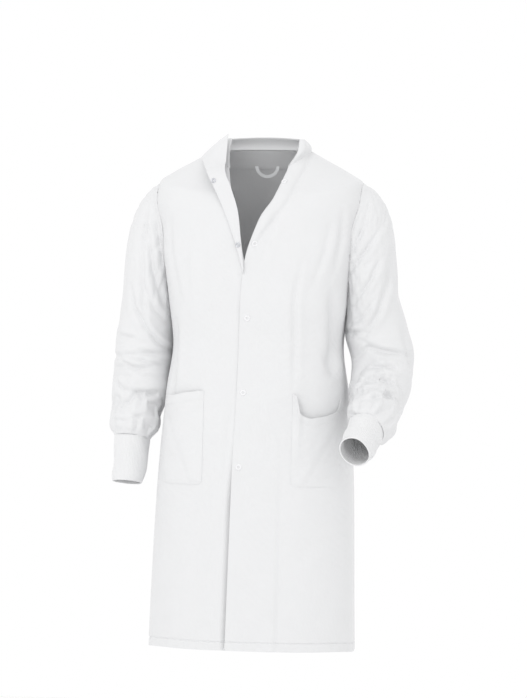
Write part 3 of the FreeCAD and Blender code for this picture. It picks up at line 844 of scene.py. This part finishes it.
def soft_roll(grid, normal):
    """The left edge above the first closed snap rolls softly outwards."""
    x, z = grid[..., 0], grid[..., 2]
    away = x - monotone(z, LEFT_EDGE[:, 0], LEFT_EDGE[:, 1])
    size = 0.012 + 0.019 * smoothstep(z, -0.20, -0.11)
    fade = smoothstep(z, V_BOTTOM + 0.005, V_BOTTOM + 0.09)
    rise = 0.0045 * np.sin(np.pi * np.clip(away / size, 0, 1)) ** 0.8
    rise -= 0.0018 * bump(away - size * 1.08, size * 0.18)
    rise *= fade * (grid[..., 1] < 0)
    return grid + normal * rise[..., None]


def build_torso():
    normal = normals(torso_fine)
    grid = torso_fine
    for path, depth, width in TORSO_CREASES:
        grid = crease(grid, normal, path, depth, width)
    grid = hem_groove(grid, normal)
    grid[..., 2] += (0.006 * smoothstep(-grid[..., 1], 0.0, 0.12)
                     * smoothstep(-grid[..., 2], 0.80, -HEM_Z))
    left, right = LEFT_SEAM * FINE, RIGHT_SEAM * FINE
    grid[:, :left + 1] = soft_roll(grid, normal)[:, :left + 1]
    normal = normals(grid)
    panels = {
        "left_front_panel": slice(0, left + 1),
        "back_panel": slice(left, right + 1),
        "right_front_panel": slice(right, grid.shape[1]),
    }
    made = {}
    for name, cols in panels.items():
        faces = slice(cols.start, cols.stop - 1)
        made[name] = cloth_piece(name, grid[:, cols], normal[:, cols], keep=~cells_fine[:, faces])
        dress(made[name], "coat_cloth", name)
    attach(made["back_panel"], "coat_body")
    for side in SIGN:
        front_blend(made[f"{side}_front_panel"])
    return grid, normal, made


coat, coat_normal, panels = build_torso()


def build_sleeves():
    for side in SIGN:
        grid, cap_rows = shape_sleeve(side, SIM_STEP)
        grid = settle_sleeve(side, grid)
        fine = finer(grid, FINE_SLEEVE, closed=True)
        normal = normals(fine, closed=True)
        smooth = fine
        for path, depth, width in SLEEVE_CREASES[side] + scattered_creases(side):
            fine = crease(fine, normal, path, depth * CREASE_GAIN, width)
        fine = blunt(fine, smooth, CREASE_REACH)
        normal = normals(fine, closed=True)
        # the seam: the sleeve's first rows stand just proud of the body and tuck in behind it
        seam = np.arange(len(fine))[:, None]
        lift = 0.0010 * (seam >= 1) - 0.0012 * bump(seam - 3.0, 1.0)
        fine = fine + normal * lift[..., None]
        split = (cap_rows - int(0.02 / SIM_STEP)) * FINE_SLEEVE
        above, below = slice(0, split + 1), slice(split, None)
        upper = cloth_piece(f"{side}_sleeve_upper", fine[above], normal[above], closed=True)
        lower = cloth_piece(f"{side}_sleeve_lower", fine[below], normal[below], closed=True)
        dress(upper, "coat_cloth", f"{side}_sleeve_upper")
        dress(lower, "coat_cloth", f"{side}_sleeve_lower", f"{side}_sleeve_elbow")
        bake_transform(upper)
        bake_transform(lower)


build_sleeves()


def build_cuffs():
    """Knitted cuffs: a tube of ribs, folded over at the wrist so that it is double."""
    ribs = 66
    for side in SIGN:
        angles = ring_angles(side, ribs * 6)
        rings, _ = path_rings(CUFFS[side], angles, 0.0025, side)
        rows = len(rings)
        normal = normals(rings, closed=True)
        down = np.arange(rows)[:, None] / (rows - 1)
        rib = 0.00035 * np.cos(angles * ribs)[None] * (0.35 + 0.65 * np.sin(np.pi * down) ** 0.3)
        snug = 0.0018 * np.sin(np.pi * down) + 0.0015 * noise(rings, 0.05, 21)
        outer = rings + normal * (rib + snug)[..., None]
        turns = np.linspace(0, math.pi, 7)[1:, None, None]
        way = outer[-1] - outer[-2]
        way /= np.linalg.norm(way, axis=1, keepdims=True)
        radius = 0.0013
        fold = (outer[-1] + way * radius * np.sin(turns)
                - normal[-1] * radius * (1 - np.cos(turns)))
        inner = (outer - normal * 2 * radius)[-2::-1]
        grid = np.concatenate([outer, fold, inner])
        cuff = cloth_piece(f"{side}_cuff", grid, thickness=0.0010, closed=True)
        dress(cuff, "rib_knit", f"{side}_cuff")
        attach(cuff, f"{side}_forearm")


build_cuffs()

# ---------------------------------------------------------------- collar, facings and lapel


def build_collar():
    """The stand collar: outer layer, stiffener and lining, on the torso's top row."""
    base = coat[0]
    count = len(base)
    run = run_along(base)
    from_left, from_right = run, run[-1] - run
    angle = np.arctan2(base[:, 0], -base[:, 1])
    back = np.clip(-np.cos(angle), 0, 1)
    top = base * np.array([0.87, 0.90, 1.0])
    top[:, 2] = 0.023 + 0.010 * back
    near_left, near_right = bump(from_left, 0.045), bump(from_right, 0.035)
    top[:, 0] += 0.026 * near_left - 0.006 * near_right
    top[:, 1] += 0.018 * near_left + 0.012 * near_right
    rows = 15
    t = np.linspace(0, 1, rows)[::-1, None, None]
    grid = base * (1 - t) + top * t
    out = np.stack([np.sin(angle), -np.cos(angle), np.zeros(count)], -1)
    grid += out * 0.004 * np.sin(np.pi * t)
    grid += out * (0.006 * near_left[:, None] * np.sin(np.pi * t * 0.9 + 0.2) ** 2)
    normal = normals(grid)
    layers = {
        "collar_outer": (0.0, CLOTH, "coat_cloth"),
        "collar_interlining": (-0.0012, 0.0006, "interlining"),
        "collar_lining": (-0.0021, CLOTH, "coat_cloth"),
    }
    for name, (offset, thickness, slot) in layers.items():
        inset = 0 if name != "collar_interlining" else 2
        part = slice(inset, rows - inset), slice(inset, count - inset)
        piece = cloth_piece(name, (grid + normal * offset)[part], normal[part], thickness)
        dress(piece, slot, name)
        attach(piece, "coat_body")
    return grid, normal


collar, collar_normal = build_collar()

# The lapel, from the bottom of the V up: fold line x, y, z and free edge x, y, z
LAPEL_ROWS = [
    ((-0.012, None, -0.228), (-0.013, None, -0.242)),
    ((-0.018, None, -0.183), (-0.031, None, -0.180)),
    ((-0.026, None, -0.125), (-0.061, None, -0.106)),
    ((-0.042, None, -0.077), (-0.083, None, -0.064)),
    ((-0.060, -0.070, -0.030), (-0.096, -0.078, -0.043)),
    ((-0.058, -0.052, 0.030), (-0.113, -0.034, -0.016)),
]


def build_lapel():
    """The right facing turned out over the front, and the collar's end above it."""
    def point(p):
        x, y, z = p
        return (x, float(front_y(x, z)) if y is None else y, z)
    folds = np.array([point(a) for a, _ in LAPEL_ROWS])
    frees = np.array([point(b) for _, b in LAPEL_ROWS])
    at = np.linspace(0, len(folds) - 1, 100)[::-1]
    fold, free = through(folds, at), through(frees, at)
    across = np.linspace(0, 1, 22)[::-1, None]
    grid = free[:, None] * across + fold[:, None] * (1 - across)
    x, z = grid[..., 0], grid[..., 2]
    on_front = smoothstep(-z, 0.02, 0.06)
    grid[..., 1] = np.where(on_front > 0, front_y(x, np.minimum(z, -0.021)) * on_front
                            + grid[..., 1] * (1 - on_front), grid[..., 1])
    normal = normals(grid)
    away = 1 - across[:, 0]
    lift = 0.0022 + 0.0032 * np.sin(np.pi * np.clip(away * 0.9, 0, 1)) ** 0.7
    lift = lift * np.ones((len(grid), 1))
    lift += 0.0010 * noise(grid, 0.08, 31)
    grid = grid + normal * lift[..., None]
    seam = int(np.argmin(np.abs(at - 4.0)))
    normal = normals(grid)
    groove = 0.0012 * bump(np.arange(len(grid))[:, None] - seam, 1.2)
    grid = grid - normal * groove[..., None]
    return grid, normals(grid), seam


lapel, lapel_normal, lapel_seam = build_lapel()
collar_end = dress(cloth_piece("collar_turned_end", lapel[:lapel_seam + 1],
                               lapel_normal[:lapel_seam + 1], 0.0014), "coat_cloth")
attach(collar_end, "coat_body")
lapel_piece = dress(cloth_piece("right_facing_lapel", lapel[lapel_seam:],
                                lapel_normal[lapel_seam:], 0.0014), "coat_cloth")
front_blend(lapel_piece)


def strip(cols, rows, offset, thickness, name, slot, side):
    """A strip that lies behind the front or back panel."""
    part = (rows, cols)
    piece = cloth_piece(name, (coat - coat_normal * offset)[part], coat_normal[part], thickness)
    dress(piece, slot, name)
    if side:
        front_blend(piece)
    else:
        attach(piece, "coat_body")


def columns_within(width, from_right):
    """How many of the coat's columns lie within a distance of a front edge, halfway down."""
    gaps = np.linalg.norm(np.diff(coat[len(coat) // 2], axis=0), axis=1)
    return int(np.searchsorted(np.cumsum(gaps[::-1] if from_right else gaps), width)) + 1


def build_facings():
    last = coat.shape[1]
    below_v = int(np.argmin(np.abs(coat[:, last - 1, 2] - (V_BOTTOM - 0.03))))
    hem = coat.shape[0] - 4
    layers = [("interlining", 0.024, 0.0012, 0.0005, "interlining"),
              ("facing", 0.050, 0.0019, 0.0006, "coat_cloth")]
    for part, width, offset, thickness, slot in layers:
        for side, top, long in (("left", 0, 0.93), ("right", below_v, 0.71)):
            count = columns_within(width, side == "right")
            cols = slice(last - count, last) if side == "right" else slice(0, count)
            strip(cols, slice(top, hem), offset, thickness, f"{side}_front_{part}", slot, side)
    back = slice(LEFT_SEAM * FINE + 2, RIGHT_SEAM * FINE - 1)
    neck = slice(0, int(0.075 / (SIM_STEP / FINE)))
    strip(back, neck, 0.0014, 0.0007, "back_neck_facing", "coat_cloth", None)


build_facings()

# ---------------------------------------------------------------- pockets


def surface_tree(obj):
    mesh = obj.data
    return BVHTree.FromPolygons([v.co for v in mesh.vertices],
                                [tuple(p.vertices) for p in mesh.polygons])


front_trees = {side: surface_tree(panels[f"{side}_front_panel"]) for side in SIGN}


def on_front(side, x, z):
    """Where the front panel's outside is at x, z, and its outward direction."""
    hit, normal, _, _ = front_trees[side].ray_cast(Vector((x, -0.5, z)), Vector((0, 1, 0)))
    if hit is None:
        y = float(front_y(x, z))
        return np.array([x, y, z]), np.array([0.0, -1.0, 0.0])
    return np.array(hit), np.array(normal)


# Each pocket's mouth, from the inner corner to the outer one: place across it, and height. Then
# how far it gapes, and how far its inner corner stands out
POCKET = {
    "left": {
        "mouth": [(0, -0.468), (0.07, -0.474), (0.14, -0.505), (0.35, -0.515), (0.65, -0.511),
                  (0.92, -0.500), (1, -0.478)],
        "gape": 0.009, "corner": 0.010,
    },
    "right": {
        "mouth": [(0, -0.465), (0.35, -0.469), (0.7, -0.475), (1, -0.480)],
        "gape": 0.005, "corner": 0.001,
    },
}


def build_pocket(side):
    """A patch pocket whose mouth gapes and sags, with a stitched top hem."""
    sign, facts = SIGN[side], POCKET[side]
    inner, outer, bottom = 0.086, 0.170, -0.645
    mouth = np.array(facts["mouth"])
    rows, cols = 76, 44
    grid = np.zeros((rows, cols, 3))
    base_normal = np.zeros((rows, cols, 3))
    order = np.linspace(inner, outer, cols) if sign > 0 else np.linspace(-outer, -inner, cols)
    for r, v in enumerate(np.linspace(0, 1, rows)):
        for c, x in enumerate(order):
            u = (abs(x) - inner) / (outer - inner)
            rounded = 0.008 * (max(0, 1 - u / 0.10) ** 2 + max(0, (u - 0.90) / 0.10) ** 2) * v**12
            top = float(monotone(u, mouth[:, 0], mouth[:, 1]))
            z = top + (bottom + rounded - top) * v
            grid[r, c], base_normal[r, c] = on_front(side, x, z)
    u = np.linspace(0, 1, cols)[None] * np.ones((rows, 1))
    if sign < 0:
        u = 1 - u
    v = np.linspace(0, 1, rows)[:, None] * np.ones((1, cols))
    for _ in range(4):
        base_normal[1:-1, 1:-1] = (base_normal[:-2, 1:-1] + base_normal[2:, 1:-1]
                                   + base_normal[1:-1, :-2] + base_normal[1:-1, 2:])
        base_normal /= np.linalg.norm(base_normal, axis=2, keepdims=True)
    edge = np.minimum(np.minimum(u, 1 - u), (1 - v) * 2.0)
    free = smoothstep(edge, 0.0, 0.10)
    lift = 0.0011 + free * (0.0006 + facts["gape"] * np.sin(np.pi * u) * (1 - v) ** 2.6)
    lift += facts["corner"] * bump(u - 0.10, 0.09) * (1 - v) ** 3 * smoothstep(u, 0.0, 0.05)
    lift += free * 0.0009 * noise(grid, 0.07, 41 if sign > 0 else 43)
    slant = u - 0.75 + 0.8 * (v - 0.25)
    lift += free * 0.0009 * (bump(slant, 0.10) - bump(slant - 0.16, 0.08)) * smoothstep(v, 0.1, 0.3)
    stitch = bump(v - 0.105, 0.008) + bump(edge - 0.035, 0.012) * 0.5
    lift -= 0.0007 * stitch
    grid = grid + base_normal * lift[..., None]
    pocket = cloth_piece(f"{side}_hip_pocket", grid, thickness=0.0010)
    dress(pocket, "coat_cloth", f"{side}_hip_pocket")
    front_blend(pocket)


for side in SIGN:
    build_pocket(side)

# ---------------------------------------------------------------- snaps and loop


def lathe(profile, place, direction, turns=28):
    """Points and faces of a part turned from a profile of radius and height."""
    rows = len(profile)
    angles = around(turns)
    out = Vector(direction).normalized()
    side = out.orthogonal().normalized()
    up = out.cross(side)
    points = [
        np.array(place) + np.array(side) * r * math.cos(a) + np.array(up) * r * math.sin(a)
        + np.array(out) * h
        for r, h in profile for a in angles
    ]
    faces = []
    for r in range(rows):
        nxt = (r + 1) % rows
        for c in range(turns):
            d = (c + 1) % turns
            faces.append((r * turns + c, r * turns + d, nxt * turns + d, nxt * turns + c))
    return points, faces


def rounded_ring(inner, outer, height, steps=10):
    """The profile of a ring with a domed top, as radius and height."""
    middle, half = (inner + outer) / 2, (outer - inner) / 2
    dome = [(middle + half * math.cos(a), height * math.sin(a))
            for a in np.linspace(0, math.pi, steps)]
    return dome + [(inner, -0.0003), (outer, -0.0003)]


SNAP_PARTS = {
    "snap_caps": (rounded_ring(0.0024, 0.0058, 0.0016), "snap_cap"),
    "snap_sockets": (rounded_ring(0.0016, 0.0046, 0.0010), "snap_metal"),
    "snap_studs": (rounded_ring(0.0002, 0.0046, 0.0012), "snap_metal"),
    "snap_posts": (rounded_ring(0.0019, 0.0050, 0.0013), "snap_metal"),
}


def snap_group(name, places):
    profile, slot = SNAP_PARTS[name]
    points, faces = [], []
    for place, direction in places:
        more, quads = lathe(profile, place, direction)
        faces += [tuple(i + len(points) for i in q) for q in quads]
        points += more
    obj = to_mesh(name + "_set", points, faces)
    dress(obj, slot, name)
    front_blend(obj)


def lapel_place(z, share):
    """A place on the lapel at a height, a share of the way from its free edge to the fold."""
    column = int(share * (lapel.shape[1] - 1))
    row = int(np.argmin(np.abs(lapel[:, column, 2] - z)))
    return lapel[row, column], lapel_normal[row, column]


def build_snaps():
    closed = [(-0.004, -0.326), (-0.009, -0.468), (-0.014, -0.610)]
    opened = [(0.0565, -0.062), (0.008, -0.184)]
    left = [on_front("left", x, z) for x, z in opened + closed]
    snap_group("snap_caps", [(p + n * 0.0002, n) for p, n in left])
    snap_group("snap_sockets", [(p - n * 0.0032, -n) for p, n in left])
    lap = [lapel_place(-0.062, 0.22), lapel_place(-0.186, 0.45)]
    right = [on_front("right", x, z) for x, z in closed]
    snap_group("snap_posts", [(p + n * 0.0002, n) for p, n in lap]
               + [(p - n * 0.0032, -n) for p, n in right])
    snap_group("snap_studs", [(p - n * 0.0022, -n) for p, n in lap]
               + [(p + n * 0.0002, n) for p, n in right])


build_snaps()


def build_loop():
    """The tape loop inside the back of the neck."""
    low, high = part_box("hang_loop")
    centre = Vector(((low[0] + high[0]) / 2, (low[1] + high[1]) / 2, high[2]))
    radius = (high[0] - low[0]) / 2 - 0.003
    angles = np.linspace(math.pi, 2 * math.pi, 60)
    half = 0.003
    line = np.stack([np.cos(angles) * radius, 0 * angles + 0.003 * np.sin(angles) ** 2,
                     np.sin(angles) * radius * 0.95], -1) + np.array(centre)
    out = np.stack([np.cos(angles), 0 * angles, np.sin(angles)], -1)
    across = np.linspace(-half, half, 6)
    grid = line[:, None] + out[:, None] * across[None, :, None]
    loop = cloth_piece("hang_loop", grid, thickness=0.0012)
    dress(loop, "tape", "hang_loop")
    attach(loop, "coat_body")


build_loop()

# ---------------------------------------------------------------- studio


def build_studio():
    scene = bpy.context.scene
    floor_material, tree, shader = principled("pale_floor", Roughness=0.9)
    tinted(tree, shader, speckle(tree, Scale=3.0), (0.94, 0.94, 0.94), 0.90 / 0.94)
    size, level = 3.2, -1.45
    corners = [(-size, -size), (size, -size), (size, size), (-size, size)]
    floor = to_mesh("floor", [(x, y, level) for x, y in corners], [(0, 1, 2, 3)])
    floor.data.materials.append(floor_material)
    world = bpy.data.worlds.new("studio")
    scene.world = world
    world.use_nodes = True
    background = world.node_tree.nodes["Background"]
    background.inputs[0].default_value = (1.0, 1.0, 1.0, 1)
    background.inputs[1].default_value = 1.0
    lights = {
        "key": ((-1.5, -3.5, 1.5), 1.4, 26.0),
        "fill": ((2.4, -3.4, 0.3), 2.2, 7.0),
        "back": ((0.8, 3.0, 1.6), 2.0, 12.0),
    }
    for name, (place, width, power) in lights.items():
        data = bpy.data.lights.new(name, "AREA")
        data.size, data.energy = width, power
        lamp = bpy.data.objects.new(name, data)
        lamp.location = place
        aim = Vector((0, 0, -0.45)) - Vector(place)
        lamp.rotation_euler = aim.to_track_quat("-Z", "Y").to_euler()
        scene.collection.objects.link(lamp)
    scene.view_settings.view_transform = "Standard"


def build_camera():
    """A long lens at the coat's own height, a little to the wearer's left of straight ahead."""
    azimuth, roll, distance, framed = math.radians(8.5), math.radians(1.03), 6.0, 1.360
    aim = Vector((0.0090, 0.0, -0.384))
    back = Vector((math.sin(azimuth), -math.cos(azimuth), 0))
    data = bpy.data.cameras.new("camera")
    data.lens = 36.0 * distance / framed
    camera = bpy.data.objects.new("camera", data)
    camera.location = aim + back * distance
    turn = (-back).to_track_quat("-Z", "Y").to_matrix().to_4x4()
    camera.rotation_euler = (turn @ Matrix.Rotation(roll, 4, "Z")).to_euler()
    bpy.context.scene.collection.objects.link(camera)
    bpy.context.scene.camera = camera


build_studio()
build_camera()
